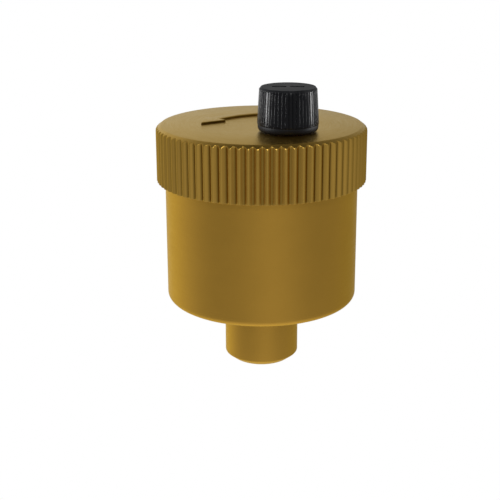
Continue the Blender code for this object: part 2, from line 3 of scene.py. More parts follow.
import bmesh
import bpy
from bpy.props import FloatProperty, FloatVectorProperty, IntProperty, PointerProperty
from bpy.types import Operator, Panel, PropertyGroup
from mathutils import Matrix, Vector


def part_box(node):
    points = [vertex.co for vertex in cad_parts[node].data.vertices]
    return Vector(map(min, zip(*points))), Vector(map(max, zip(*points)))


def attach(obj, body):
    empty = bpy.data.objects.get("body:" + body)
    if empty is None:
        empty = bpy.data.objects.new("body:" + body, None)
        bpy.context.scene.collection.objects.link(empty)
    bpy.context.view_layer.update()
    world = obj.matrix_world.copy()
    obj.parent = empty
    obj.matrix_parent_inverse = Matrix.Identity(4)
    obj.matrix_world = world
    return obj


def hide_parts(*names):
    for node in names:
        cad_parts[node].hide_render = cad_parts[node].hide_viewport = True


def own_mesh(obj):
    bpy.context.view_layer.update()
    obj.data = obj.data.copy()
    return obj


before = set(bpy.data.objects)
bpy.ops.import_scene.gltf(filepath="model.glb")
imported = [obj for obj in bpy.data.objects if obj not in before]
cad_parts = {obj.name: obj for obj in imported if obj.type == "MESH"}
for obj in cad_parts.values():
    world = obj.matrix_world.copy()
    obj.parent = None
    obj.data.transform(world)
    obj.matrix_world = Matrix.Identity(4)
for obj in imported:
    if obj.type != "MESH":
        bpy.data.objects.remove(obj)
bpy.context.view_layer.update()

bl_info = {
    "name": "Automatic air vent",
    "version": (1, 0, 0),
    "blender": (4, 5, 0),
    "location": "View3D > Sidebar > Air vent",
    "description": "Builds the looks of a brass automatic air vent round its packed frame",
    "category": "Object",
}

# Places that come from the frame, in metres.
CUP_LOW, CUP_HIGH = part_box("body_cup")
COVER_LOW, COVER_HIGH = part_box("cover")
CAP_LOW, CAP_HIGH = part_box("vent_cap")
NOZZLE_LOW, NOZZLE_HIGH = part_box("vent_nozzle")
NUT_LOW, NUT_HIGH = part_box("nozzle_nut")
GASKET_LOW, GASKET_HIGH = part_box("nozzle_gasket")
SEAL_LOW, SEAL_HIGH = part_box("cap_seal")
O_RING_LOW, O_RING_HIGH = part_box("cover_o_ring")
VALVE_SEAL_LOW, VALVE_SEAL_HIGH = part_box("valve_seal")
SPRING_LOW, SPRING_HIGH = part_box("valve_spring")
NOZZLE_X = (NOZZLE_LOW[0] + NOZZLE_HIGH[0]) / 2

HOLE_RADIUS = 0.0029            # the nozzle's hole in the cover, the gasket and the nut
EDGE = 0.0001                   # smallest break on a turned edge


# ================= sizes and colours =================

def linear(hex_colour):
    """An sRGB hex colour as linear red, green and blue."""
    parts = [int(hex_colour[i:i + 2], 16) / 255 for i in (1, 3, 5)]
    return tuple(p / 12.92 if p <= 0.04045 else ((p + 0.055) / 1.055) ** 2.4 for p in parts)


def length(name, description, default):
    return FloatProperty(name=name, description=description, default=default, min=0.0,
                         max=0.1, unit="LENGTH", subtype="DISTANCE", precision=5)


def angle(name, description, degrees):
    return FloatProperty(name=name, description=description,
                         default=math.radians(degrees), unit="ROTATION", subtype="ANGLE")


def rib_count(description, default):
    return IntProperty(name="Ribs", description=description, default=default, min=12,
                       max=200)


def colour(name, description, default):
    return FloatVectorProperty(name=name, description=description, default=linear(default),
                               size=3, min=0.0, max=1.0, subtype="COLOR")


class VentCupSizes(PropertyGroup):
    """Sizes of the turned cup and its spigot."""
    spigot_radius: length("Spigot radius", "Plain pipe spigot", 0.00833)
    spigot_end_radius: length("Spigot end radius", "Outside of its end face", 0.00665)
    spigot_chamfer: length("Spigot chamfer", "Height of the taper at its end", 0.0013)
    spigot_length: length("Spigot length", "From the end face to the cup", 0.015)
    bore_radius: length("Bore radius", "Water inlet through the spigot", 0.005)
    edge_round: length("Edge round", "Rounding of the cup's lower edge", 0.0014)
    floor: length("Floor", "Thickness of the cup's floor", 0.0025)
    inner_round: length("Inner round", "Rounding inside, at the floor", 0.0015)
    cavity_radius: length("Cavity radius", "Inside of the cup", 0.0186)
    neck_length: length("Neck length", "Threaded neck over the cup's shoulder", 0.006)
    neck_radius: length("Neck radius", "Crests of the neck's thread", 0.0202)
    thread_pitch: length("Thread pitch", "Pitch of the cover's thread", 0.0015)
    thread_depth: length("Thread depth", "Depth of the neck's thread", 0.0004)


class VentCoverSizes(PropertyGroup):
    """Sizes of the knurled screw cover."""
    ribs: rib_count("Ribs round the cover", 76)
    rib_start: angle("Rib start", "Direction of the first rib", -1.23)
    rib_depth: length("Rib depth", "Ribs' height over the grooves", 0.0006)
    bevel_drop: length("Bevel drop", "Bevel's height at the ribs' crests", 0.0008)
    top_radius: length("Top radius", "Flat top face, inside the bevel", 0.0221)
    plate: length("Plate", "Thickness of the cover's top", 0.003)
    play: length("Play", "Gap between the cover and the cup", 0.0003)
    recess: length("Recess", "Recess round the cup's shoulder", 0.0015)
    arrow_start: angle("Arrow start", "Where the turn arrow begins", 166)
    arrow_end: angle("Arrow end", "Where the arrow's head begins", 200)
    arrow_radius: length("Arrow radius", "Turn arrow's radius round the nozzle", 0.02)
    arrow_width: length("Arrow width", "Width of the arrow's band", 0.0024)
    arrow_head: length("Arrow head", "Length of the arrow's head", 0.006)
    arrow_height: length("Arrow height", "How far the arrow stands up", 0.0005)


class VentCapSizes(PropertyGroup):
    """Sizes of the moulded dust cap."""
    ribs: rib_count("Ribs round the cap", 50)
    rib_depth: length("Rib depth", "Ribs' height over the grooves", 0.0001)
    rib_foot_radius: length("Rib foot radius", "Ribs' crests at the skirt", 0.00653)
    rib_top_radius: length("Rib top radius", "Ribs' crests at the bevel", 0.00611)
    face_radius: length("Face radius", "Flat top face, inside the bevel", 0.00577)
    skirt: length("Skirt", "Plain skirt under the ribs", 0.00135)
    skirt_radius: length("Skirt radius", "Outside of the skirt", 0.00642)
    foot_radius: length("Foot radius", "Lower edge of the skirt, rounded in", 0.00585)
    cavity_radius: length("Cavity radius", "Inside of the skirt", 0.00495)
    thread_radius: length("Thread radius", "Plain wall round the nozzle's thread", 0.0029)
    slot_facing: angle("Slot facing", "Direction of the two slots in the top", 56.6)
    slot_length: length("Slot length", "Length of each slot", 0.003)
    slot_width: length("Slot width", "Width of each slot", 0.001)
    notch_facing: angle("Notch facing", "Direction of the two air notches", 57.5)


class VentNozzleSizes(PropertyGroup):
    """Sizes of the turned vent nozzle."""
    shank_radius: length("Shank radius", "Crests of the dust cap's thread", 0.0026)
    thread_pitch: length("Thread pitch", "Pitch of the dust cap's thread", 0.0008)
    thread_depth: length("Thread depth", "Depth of the thread", 0.00022)
    flange_radius: length("Flange radius", "Flange under the cover", 0.0035)
    mouth_radius: length("Mouth radius", "Upper end of the bore", 0.0015)
    bore_radius: length("Bore radius", "Bore at the valve's seat", 0.0009)


class VentSpringSizes(PropertyGroup):
    """Sizes of the valve's spring."""
    wire_radius: length("Wire radius", "Half of the wire's thickness", 0.00025)
    stroke: length("Stroke", "How far the valve moves", 0.00118)


class VentColours(PropertyGroup):
    """Colours of the finishes."""
    cup_brass: colour("Cup brass", "Satin turned brass of the cup", "#C79A40")
    cover_brass: colour("Cover brass", "Brass of the knurled cover", "#C49C48")
    valve_brass: colour("Valve brass", "Fine turned brass of the small pieces", "#D6AC5C")
    # this colour is both the tarnish clouds and the painted shade in the grooves and on the
    # arrow's sides
    tarnish_and_shade: colour("Tarnish", "Brown film that stays in the grooves", "#67501D")
    cap: colour("Cap plastic", "Moulded black plastic", "#090A0E")
    rubber: colour("Rubber", "Moulded black seal rubber", "#1C1C1E")
    steel: colour("Steel", "Stainless steel pins, clips and spring", "#BFBEBA")
    lever: colour("Acetal", "Moulded white acetal lever", "#E6E3DA")
    float_body: colour("Polypropylene", "Natural polypropylene of the float", "#D9D4C4")
    floor: colour("Floor", "Plain pale floor", "#F4F3F0")


GROUPS = {"vent_cup": VentCupSizes, "vent_cover": VentCoverSizes, "vent_cap": VentCapSizes,
          "vent_nozzle": VentNozzleSizes, "vent_spring": VentSpringSizes,
          "vent_colours": VentColours}


# ================= node trees =================

def add_node(tree, kind, links=None, **settings):
    """Add one node, set its properties, and give its inputs values or links."""
    made = tree.nodes.new(kind)
    for key, value in settings.items():
        setattr(made, key, value)
    for key, value in (links or {}).items():
        if isinstance(value, bpy.types.NodeSocket):
            tree.links.new(value, made.inputs[key])
        else:
            made.inputs[key].default_value = value
    return made


def add_math(tree, operation, *values):
    return add_node(tree, "ShaderNodeMath", dict(enumerate(values)),
                    operation=operation).outputs[0]


def new_material(name):
    mat = bpy.data.materials.new(name)
    mat.use_nodes = True
    mat.node_tree.nodes.clear()
    return mat, mat.node_tree


def noise(tree, vector, scale, detail=3.0, roughness=0.55):
    made = add_node(tree, "ShaderNodeTexNoise", {"Vector": vector, "Scale": scale,
                                                 "Detail": detail, "Roughness": roughness})
    return made.outputs["Fac"]


def spread(tree, value, from_low, from_high, low, high):
    made = add_node(tree, "ShaderNodeMapRange",
                    {"Value": value, "From Min": from_low, "From Max": from_high,
                     "To Min": low, "To Max": high})
    return made.outputs["Result"]


def mixed(tree, factor, first, second):
    made = add_node(tree, "ShaderNodeMix", {0: factor, 6: first, 7: second},
                    data_type="RGBA")
    return made.outputs[2]


def bumped(tree, height, distance, strength=1.0, normal=None):
    links = {"Height": height, "Distance": distance, "Strength": strength}
    if normal is not None:
        links["Normal"] = normal
    return add_node(tree, "ShaderNodeBump", links).outputs["Normal"]


def finish_shader(tree, links):
    shader = add_node(tree, "ShaderNodeBsdfPrincipled", links)
    add_node(tree, "ShaderNodeOutputMaterial", {"Surface": shader.outputs["BSDF"]})


def rgba(rgb, factor=1.0):
    return (rgb[0] * factor, rgb[1] * factor, rgb[2] * factor, 1.0)


def lathe_coordinates(tree, centre_x=0.0):
    """Coordinates that run across a lathe's turning marks: radius plus height in the
    first channel, and the direction round the axis, weakly, in the other two."""
    place = add_node(tree, "ShaderNodeTexCoord").outputs["Object"]
    parts = add_node(tree, "ShaderNodeSeparateXYZ", {0: place}).outputs
    across = add_math(tree, "SUBTRACT", parts["X"], centre_x)
    squares = add_math(tree, "ADD", add_math(tree, "MULTIPLY", across, across),
                       add_math(tree, "MULTIPLY", parts["Y"], parts["Y"]))
    radius = add_math(tree, "SQRT", squares)
    along = add_math(tree, "ADD", radius, parts["Z"])
    safe = add_math(tree, "MAXIMUM", radius, 0.0005)
    turn_x = add_math(tree, "MULTIPLY", add_math(tree, "DIVIDE", across, safe), 0.0012)
    turn_y = add_math(tree, "MULTIPLY", add_math(tree, "DIVIDE", parts["Y"], safe), 0.0012)
    joined = add_node(tree, "ShaderNodeCombineXYZ", {0: along, 1: turn_x, 2: turn_y})
    return place, joined.outputs[0]


# Grazing reflections of the brass, red, green and blue. The ribs' are duller.
CUP_EDGE = (1.0, 0.9, 0.5, 1.0)
PLAIN_EDGE = (1.0, 1.0, 0.8, 1.0)
RIB_EDGE = (0.55, 0.52, 0.3, 1.0)


def brass_material(name, base, tarnish_and_shade, roughness, centre_x=0.0, grain=0.6, marks=1.0,
                   grooves=False, edge=PLAIN_EDGE):
    """Yellow brass, turned on a lathe and tumbled. The metal gives a warm, soft reflection;
    fine turning marks run round it, tumbling leaves a slight grain, and painted shade in the
    tarnish colour darkens the grooves."""
    mat, tree = new_material(name)
    place, lathe = lathe_coordinates(tree, centre_x)
    # turning marks 0.12 mm apart, drawn at 0.3 mm so that they show
    turning = noise(tree, lathe, 3300.0, 2.0)
    # tumbled grain of 0.25 mm
    speckle = noise(tree, place, 4000.0, 4.0, 0.7)
    # clouds of thin tarnish, 8 mm across
    cloud = noise(tree, place, 120.0, 4.0, 0.6)
    shade = spread(tree, cloud, 0.35, 0.7, 0.0, 0.05)
    surface = mixed(tree, shade, rgba(base), rgba(tarnish_and_shade))
    fleck = spread(tree, speckle, 0.62, 0.8, 0.0, 0.3)
    surface = mixed(tree, fleck, surface, rgba(base, 1.25))
    if grooves:
        # painted shade: the groove attribute darkens the grooves, and the arrow's sides,
        # towards the tarnish colour
        depth = add_node(tree, "ShaderNodeAttribute", attribute_name="groove").outputs["Fac"]
        film_and_shade = spread(tree, depth, 0.65, 1.25, 0.0, 0.85)
        surface = mixed(tree, film_and_shade, surface, rgba(tarnish_and_shade))
        side = add_node(tree, "ShaderNodeAttribute", attribute_name="rib_height")
        edge = mixed(tree, side.outputs["Fac"], edge, RIB_EDGE)
    rough = add_math(tree, "ADD", spread(tree, speckle, 0.3, 0.7, -0.05, 0.05),
                     spread(tree, turning, 0.3, 0.7, roughness - 0.03, roughness + 0.05))
    normal = bumped(tree, turning, 0.000012 * marks)
    normal = bumped(tree, speckle, 0.00002 * grain, normal=normal)
    finish_shader(tree, {"Base Color": surface, "Metallic": 1.0, "Roughness": rough,
                         "Specular Tint": edge, "Normal": normal})
    return mat


def moulded_material(name, base, roughness, grain_size, grain_height, specular=0.5,
                     subsurface=0.0, ribs=False, uneven=0.04):
    """Injection-moulded plastic or rubber: an even colour with faint flow clouds, and
    the fine spark-eroded grain of the mould."""
    mat, tree = new_material(name)
    place = add_node(tree, "ShaderNodeTexCoord").outputs["Object"]
    grain = noise(tree, place, 1.0 / grain_size, 3.0, 0.6)
    flow = noise(tree, place, 260.0, 3.0)
    shade = spread(tree, flow, 0.3, 0.75, 0.0, 1.0)
    surface = mixed(tree, shade, rgba(base), rgba(base, 1.05))
    rough = add_math(tree, "ADD", spread(tree, flow, 0.3, 0.7, -0.03, 0.03),
                     spread(tree, grain, 0.3, 0.7, roughness - uneven, roughness + uneven))
    if ribs:
        # the ribs are polished in the mould, and the plain faces are left matt
        side = add_node(tree, "ShaderNodeAttribute", attribute_name="rib_height")
        matt = spread(tree, side.outputs["Fac"], 0.3, 1.0, 0.3, 0.0)
        rough = add_math(tree, "ADD", rough, matt)
    normal = bumped(tree, grain, grain_height)
    links = {"Base Color": surface, "Roughness": rough, "Normal": normal,
             "Specular IOR Level": specular}
    if subsurface:
        links["Subsurface Weight"] = subsurface
        links["Subsurface Radius"] = (0.9, 0.8, 0.7)
        links["Subsurface Scale"] = 0.001
    finish_shader(tree, links)
    return mat


def steel_material(name, base):
    """Stainless steel, drawn or stamped: a cool grey metal with fine drawing lines."""
    mat, tree = new_material(name)
    place = add_node(tree, "ShaderNodeTexCoord").outputs["Object"]
    stretched = add_node(tree, "ShaderNodeMapping", {"Vector": place,
                                                     "Scale": (0.15, 0.15, 1.0)})
    # drawing lines 0.1 mm apart
    lines = noise(tree, stretched.outputs[0], 9000.0, 2.0)
    spots = noise(tree, place, 900.0, 4.0)
    surface = mixed(tree, spread(tree, spots, 0.35, 0.7, 0.0, 1.0), rgba(base),
                    rgba(base, 0.82))
    rough = spread(tree, lines, 0.3, 0.7, 0.22, 0.36)
    normal = bumped(tree, lines, 0.000006)
    finish_shader(tree, {"Base Color": surface, "Metallic": 1.0, "Roughness": rough,
                         "Normal": normal})
    return mat


MATERIALS = {}


def make_materials(context):
    tint = context.scene.vent_colours
    film_and_shade = tint.tarnish_and_shade
    made = {
        "cup_brass": brass_material("satin_turned_brass_cup", tint.cup_brass, film_and_shade, 0.36,
                                    grain=1.2, edge=CUP_EDGE),
        "cover_brass": brass_material("knurled_brass_cover", tint.cover_brass, film_and_shade, 0.34,
                                      marks=0.4, grooves=True),
        "valve_brass": brass_material("fine_turned_brass_valve", tint.valve_brass, film_and_shade,
                                      0.24, centre_x=NOZZLE_X, grain=0.2, grooves=True),
        "cap_plastic": moulded_material("moulded_black_nylon_cap", tint.cap, 0.26,
                                        0.00022, 0.0000005, specular=0.2, ribs=True,
                                        uneven=0.004),
        "rubber": moulded_material("moulded_epdm_rubber", tint.rubber, 0.6, 0.00015,
                                   0.000015, specular=0.3),
        "steel": steel_material("drawn_stainless_steel", tint.steel),
        "acetal": moulded_material("moulded_white_acetal", tint.lever, 0.36, 0.0003,
                                   0.000008, subsurface=0.15),
        "polypropylene": moulded_material("moulded_natural_polypropylene", tint.float_body,
                                          0.42, 0.0004, 0.00001, subsurface=0.25),
    }
    MATERIALS.update(made)


# ================= Geometry Nodes =================

def new_geometry_tree(name, sockets):
    tree = bpy.data.node_groups.new(name, "GeometryNodeTree")
    tree.interface.new_socket("Geometry", in_out="INPUT", socket_type="NodeSocketGeometry")
    for label, kind, default in sockets:
        socket = tree.interface.new_socket(label, in_out="INPUT", socket_type=kind)
        if default is not None:
            socket.default_value = default
    tree.interface.new_socket("Geometry", in_out="OUTPUT", socket_type="NodeSocketGeometry")
    return tree, add_node(tree, "NodeGroupInput").outputs


def close_geometry_tree(tree, geometry, given):
    whole = add_node(tree, "GeometryNodeRealizeInstances", {0: geometry}).outputs[0]
    painted = add_node(tree, "GeometryNodeSetMaterial", {"Geometry": whole,
                                                         "Material": given["Material"]})
    add_node(tree, "NodeGroupOutput", {"Geometry": painted.outputs[0]})


def rib_tree():
    """Raises ribs, or a thread, round an upright axis. The mesh says where through its
    rib_height attribute; Turns is the thread's turns per metre, and 0 for ribs."""
    tree, given = new_geometry_tree("ribs_round_an_axis", [
        ("Centre X", "NodeSocketFloat", 0.0), ("Count", "NodeSocketFloat", 1.0),
        ("Start", "NodeSocketFloat", 0.0), ("Turns", "NodeSocketFloat", 0.0),
        ("Depth", "NodeSocketFloat", 0.0005), ("Crest", "NodeSocketFloat", 1.0),
        ("Material", "NodeSocketMaterial", None)])
    parts = add_node(tree, "ShaderNodeSeparateXYZ",
                     {0: add_node(tree, "GeometryNodeInputPosition").outputs[0]}).outputs
    across = add_math(tree, "SUBTRACT", parts["X"], given["Centre X"])
    angle = add_math(tree, "ARCTAN2", parts["Y"], across)
    climb = add_math(tree, "MULTIPLY", add_math(tree, "MULTIPLY", parts["Z"], math.tau),
                     given["Turns"])
    turned = add_math(tree, "SUBTRACT", angle, given["Start"])
    phase = add_math(tree, "SUBTRACT", add_math(tree, "MULTIPLY", turned, given["Count"]),
                     climb)
    wave = add_math(tree, "MULTIPLY_ADD", add_math(tree, "COSINE", phase), -0.5, 0.5)
    groove = add_math(tree, "POWER", wave, given["Crest"])
    weight = add_node(tree, "GeometryNodeInputNamedAttribute", {"Name": "rib_height"},
                      data_type="FLOAT").outputs[0]
    rise = add_math(tree, "MINIMUM", add_math(tree, "SUBTRACT", 1.0, groove), weight)
    push = add_math(tree, "MULTIPLY", rise, given["Depth"])
    flat = add_node(tree, "ShaderNodeCombineXYZ", {0: across, 1: parts["Y"], 2: 0.0})
    outward = add_node(tree, "ShaderNodeVectorMath", {0: flat.outputs[0]},
                       operation="NORMALIZE").outputs[0]
    offset = add_node(tree, "ShaderNodeVectorMath", {0: outward, "Scale": push},
                      operation="SCALE").outputs[0]
    moved = add_node(tree, "GeometryNodeSetPosition", {"Geometry": given["Geometry"],
                                                       "Offset": offset}).outputs[0]
    # the groove attribute is the mask of the painted shade in the grooves
    stored = add_node(tree, "GeometryNodeStoreNamedAttribute",
                      {"Geometry": moved, "Name": "groove",
                       "Value": add_math(tree, "MULTIPLY", groove,
                                         add_math(tree, "SQRT", weight))},
                      data_type="FLOAT", domain="POINT").outputs[0]
    close_geometry_tree(tree, stored, given)
    return tree


def coil_tree():
    """A wire wound round an upright axis: a spring, or a thread's ridge in a bore."""
    tree, given = new_geometry_tree("wound_wire", [
        ("Place", "NodeSocketVector", (0.0, 0.0, 0.0)), ("Turns", "NodeSocketFloat", 3.0),
        ("Radius", "NodeSocketFloat", 0.01), ("Height", "NodeSocketFloat", 0.01),
        ("Wire Radius", "NodeSocketFloat", 0.001), ("Sides", "NodeSocketInt", 8),
        ("Steps", "NodeSocketInt", 96), ("Material", "NodeSocketMaterial", None)])
    path = add_node(tree, "GeometryNodeCurveSpiral",
                    {"Resolution": given["Steps"], "Rotations": given["Turns"],
                     "Start Radius": given["Radius"], "End Radius": given["Radius"],
                     "Height": given["Height"]}).outputs[0]
    section = add_node(tree, "GeometryNodeCurvePrimitiveCircle",
                       {"Resolution": given["Sides"], "Radius": given["Wire Radius"]},
                       mode="RADIUS").outputs[0]
    wire = add_node(tree, "GeometryNodeCurveToMesh",
                    {"Curve": path, "Profile Curve": section, "Fill Caps": True}).outputs[0]
    placed = add_node(tree, "GeometryNodeTransform", {"Geometry": wire,
                                                      "Translation": given["Place"]})
    close_geometry_tree(tree, placed.outputs[0], given)
    return tree


def shape_by(obj, tree_maker, material, values, angle=40):
    """Shape an object by Geometry Nodes with these inputs, and settle it."""
    tree = bpy.data.node_groups.get(tree_maker.__name__)
    if tree is None:
        tree = tree_maker()
        tree.name = tree_maker.__name__
    modifier = obj.modifiers.new(tree.name, "NODES")
    modifier.node_group = tree
    values = {"Material": MATERIALS[material], **values}
    for item in tree.interface.items_tree:
        if item.item_type == "SOCKET" and item.in_out == "INPUT" and item.name in values:
            modifier[item.identifier] = values[item.name]
    settle(obj, angle)


def settle(obj, angle=40):
    """Turn an object's modifiers into its plain mesh."""
    bpy.context.view_layer.update()
    depsgraph = bpy.context.evaluated_depsgraph_get()
    mesh = bpy.data.meshes.new_from_object(obj.evaluated_get(depsgraph),
                                           preserve_all_data_layers=True,
                                           depsgraph=depsgraph)
    old = obj.data
    obj.modifiers.clear()
    obj.data = mesh
    bpy.data.meshes.remove(old)
    mesh.name = obj.name
    smooth(mesh, angle)


# ================= mesh tools =================

def arc(centre_r, centre_z, radius, start, end, steps):
    """Points on an arc of a profile, angles in degrees."""
    points = []
    for i in range(steps + 1):
        angle = math.radians(start + (end - start) * i / steps)
        points.append((centre_r + radius * math.cos(angle),
                       centre_z + radius * math.sin(angle)))
    return points


def softened(profile, round_r, steps=3, closed=True):
    """A profile of straight lines with its corners rounded."""
    out = []
    count = len(profile)
    for i, point in enumerate(profile):
        here = Vector(point[:2])
        if not closed and i in (0, count - 1):
            out.append(tuple(here))
            continue
        back = Vector(profile[i - 1][:2]) - here
        ahead = Vector(profile[(i + 1) % count][:2]) - here
        reach = min(round_r, back.length * 0.45, ahead.length * 0.45)
        start = here + back.normalized() * reach
        end = here + ahead.normalized() * reach
        for k in range(steps + 1):
            t = k / steps
            out.append(tuple(start.lerp(here, t).lerp(here.lerp(end, t), t)))
    return out


def turned_mesh(name, profile, segments, centre_x=0.0, closed=True):
    """Turn a profile of (radius, z) or (radius, z, rib height) round an upright axis.
    A closed profile makes a ring, and an open one starts and ends on the axis."""
    bm = bmesh.new()
    weight = bm.verts.layers.float.new("rib_height")
    rings = []
    for point in profile:
        count = 1 if point[0] < 1e-7 else segments
        ring = []
        for i in range(count):
            angle = math.tau * i / segments
            vert = bm.verts.new((centre_x + point[0] * math.cos(angle),
                                 point[0] * math.sin(angle), point[1]))
            vert[weight] = point[2] if len(point) > 2 else 0.0
            ring.append(vert)
        rings.append(ring)
    pairs = list(zip(rings, rings[1:]))
    if closed:
        pairs.append((rings[-1], rings[0]))
    for low, high in pairs:
        for i in range(segments):
            j = (i + 1) % segments
            if len(low) == 1:
                bm.faces.new((low[0], high[j], high[i]))
            elif len(high) == 1:
                bm.faces.new((low[i], low[j], high[0]))
            else:
                bm.faces.new((low[i], low[j], high[j], high[i]))
    return new_object(name, bm)


def smooth(mesh, angle=40):
    """Smooth shading, but sharp over edges of more than this many degrees."""
    mesh.shade_smooth()
    mesh.set_sharp_from_angle(angle=math.radians(angle))


def new_object(name, bm):
    bmesh.ops.recalc_face_normals(bm, faces=bm.faces)
    mesh = bpy.data.meshes.new(name)
    bm.to_mesh(mesh)
    bm.free()
    smooth(mesh)
    obj = bpy.data.objects.new(name, mesh)
    bpy.context.scene.collection.objects.link(obj)
    return obj


def extruded_mesh(name, outline, low, high):
    bm = bmesh.new()
    face = bm.faces.new([bm.verts.new((x, y, low)) for x, y in outline])
    lid = bmesh.ops.extrude_face_region(bm, geom=[face])
    moved = [item for item in lid["geom"] if isinstance(item, bmesh.types.BMVert)]
    bmesh.ops.translate(bm, vec=(0, 0, high - low), verts=moved)
    return new_object(name, bm)


def block(name, size, centre, turn):
    bm = bmesh.new()
    place = Matrix.Translation(centre) @ Matrix.Rotation(turn, 4, "Z")
    bmesh.ops.create_cube(bm, size=1.0, matrix=place @ Matrix.Diagonal((*size, 1.0)))
    return new_object(name, bm)


def rod(name, radius, low, high, segments):
    """A plain round bar on the nozzle's axis."""
    profile = [(0.0, low), (radius, low), (radius, high), (0.0, high)]
    return turned_mesh(name, profile, segments, centre_x=NOZZLE_X, closed=False)


def cut_with(obj, tools, operation="DIFFERENCE"):
    """Cut, join or meet an object with helper solids, which are used up."""
    for tool in tools:
        modifier = obj.modifiers.new("cut", "BOOLEAN")
        modifier.operation = operation
        modifier.solver = "EXACT"
        modifier.object = tool
    settle(obj)
    for tool in tools:
        bpy.data.objects.remove(tool)


def bevelled(obj, width):
    modifier = obj.modifiers.new("edges", "BEVEL")
    modifier.width = width
    modifier.segments = 3
    modifier.limit_method = "ANGLE"
    modifier.angle_limit = math.radians(40)
    settle(obj)


def hand_over(obj, material, body, node=None):
    """Paint a finished piece and tell the frame what it stands for."""
    obj.data.materials.clear()
    obj.data.materials.append(MATERIALS[material])
    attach(obj, body)
    if node:
        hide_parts(node)


def repaint(node, material):
    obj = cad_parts[node]
    for i in range(len(obj.material_slots)):
        obj.material_slots[i].material = MATERIALS[material]


# ================= pieces =================

def plain(points):
    """Points of a profile that carry no ribs and no thread."""
    return [point + (0.0,) for point in points]


def rib_foot(root_r, low, height, steps):
    """Points up the rounded lower end of a row of ribs."""
    return [(root_r, low + height * i / steps, math.sqrt(1 - (1 - i / steps) ** 2))
            for i in range(steps + 1)]


def thread_section(root_r, start, end, steps, run_in, run_out):
    """Points up a threaded stretch of a profile. The thread fades in and out."""
    points = []
    for i in range(steps + 1):
        z = start + (end - start) * i / steps
        weight = min(1.0, (z - start) / run_in, (end - z) / run_out)
        points.append((root_r, z, max(0.0, weight)))
    return points


class VENT_OT_materials(Operator):
    """Make the finishes that the pieces share"""
    bl_idname = "vent.materials"
    bl_label = "Finishes"

    def execute(self, context):
        make_materials(context)
        return {"FINISHED"}


def cup_section(size):
    """Up the spigot, the cup's wall and its threaded neck, and back down inside."""
    low, high, body_r = CUP_LOW[2], CUP_HIGH[2], CUP_HIGH[0]
    foot = low + size.spigot_length
    shoulder = high - size.neck_length
    root_r = size.neck_radius - size.thread_depth
    fillet, corner = 0.0005, 0.0003
    outside = softened([(size.bore_radius, low), (size.spigot_end_radius, low),
                        (size.spigot_radius, low + size.spigot_chamfer),
                        (size.spigot_radius, foot - 0.002)], 0.0002, closed=False)
    outside += arc(size.spigot_radius + fillet, foot - fillet, fillet, 180, 90, 5)
    outside += arc(body_r - size.edge_round, foot + size.edge_round, size.edge_round,
                   -90, 0, 10)
    outside += [(body_r, foot + 0.002), (body_r, shoulder - 0.003)]
    outside += arc(body_r - corner, shoulder - corner, corner, 0, 90, 4)
    outside += [(root_r + EDGE, shoulder), (root_r, shoulder + EDGE)]
    fade = 0.0005
    neck = thread_section(root_r, shoulder + 0.0007, high - 0.0004, 72, fade, fade)
    floor = foot + size.floor
    round_r, lip = size.inner_round, 0.0004
    inside = [(root_r - 0.0003, high), (size.cavity_radius + 0.0002, high),
              (size.cavity_radius, high - 0.0002)]
    inside += arc(size.cavity_radius - round_r, floor + round_r, round_r, 0, -90, 6)
    inside += [(size.bore_radius + lip, floor), (size.bore_radius, floor - lip)]
    return plain(outside) + neck + plain(inside)


class VENT_OT_cup(Operator):
    """Turn the brass cup with its spigot and threaded neck"""
    bl_idname = "vent.cup"
    bl_label = "Cup and spigot"

    def execute(self, context):
        size = context.scene.vent_cup
        cup = turned_mesh("cup_body", cup_section(size), 240)
        shape_by(cup, rib_tree, "cup_brass", {"Turns": 1.0 / size.thread_pitch,
                                              "Depth": size.thread_depth})
        hand_over(cup, "cup_brass", "cup", "body_cup")
        return {"FINISHED"}


def cover_section(size, cup):
    """From the middle of the cover's underside out to its ribs and over its top."""
    low, crest_r = COVER_LOW[2], COVER_HIGH[0]
    top = COVER_HIGH[2] - size.arrow_height
    plate = top - size.plate
    root_r = crest_r - size.rib_depth
    bore_r, recess_r = cup.neck_radius + size.play, CUP_HIGH[0] + size.play
    recess_top = low + size.recess
    hollow = softened([(bore_r, plate), (bore_r, recess_top), (recess_r, recess_top),
                       (recess_r, low), (root_r - EDGE, low), (root_r, low + EDGE)],
                      0.00012, closed=False)
    profile = plain([(0.0, plate), (bore_r - 0.0002, plate)] + hollow)
    # the ribs' lower ends are rounded, and their upper ends are cut by the bevel
    rib_low, end_height = low + 0.00008, 0.00025
    profile += rib_foot(root_r, rib_low, end_height, 7)
    straight_low = rib_low + end_height
    straight = top - size.bevel_drop - 0.0002 - straight_low
    profile += [(root_r, straight_low + straight * i / 6, 1.0) for i in range(1, 7)]
    slope = size.bevel_drop / (crest_r - size.top_radius)
    steps, worn, rounded = 12, 0.00016, 0.12
    for i in range(1, steps + 1):
        radius = crest_r + (root_r - crest_r) * i / steps
        share = (radius - root_r) / size.rib_depth
        z = top - (radius - size.top_radius) * slope - worn * max(0.0, share - 0.55) ** 2
        profile.append((root_r, z, share - rounded * share ** 4))
    return profile + plain([(size.top_radius + EDGE, top - 0.00006),
                            (size.top_radius - EDGE, top), (0.012, top), (0.0, top)])


def arrow_outline(size):
    """A turn arrow: a band round the nozzle's axis that ends in a plain head."""
    steps = 40
    outer, inner = [], []
    for i in range(steps + 1):
        turn = size.arrow_start + (size.arrow_end - size.arrow_start) * i / steps
        outer.append((size.arrow_radius + size.arrow_width / 2, turn))
        inner.append((size.arrow_radius - size.arrow_width / 2, turn))
    tip = size.arrow_end + size.arrow_head / size.arrow_radius
    barb = size.arrow_head / 2
    head = [(size.arrow_radius + barb, size.arrow_end), (size.arrow_radius, tip),
            (size.arrow_radius - barb, size.arrow_end)]
    return [(NOZZLE_X + radius * math.cos(turn), radius * math.sin(turn))
            for radius, turn in outer + head + inner[::-1]]


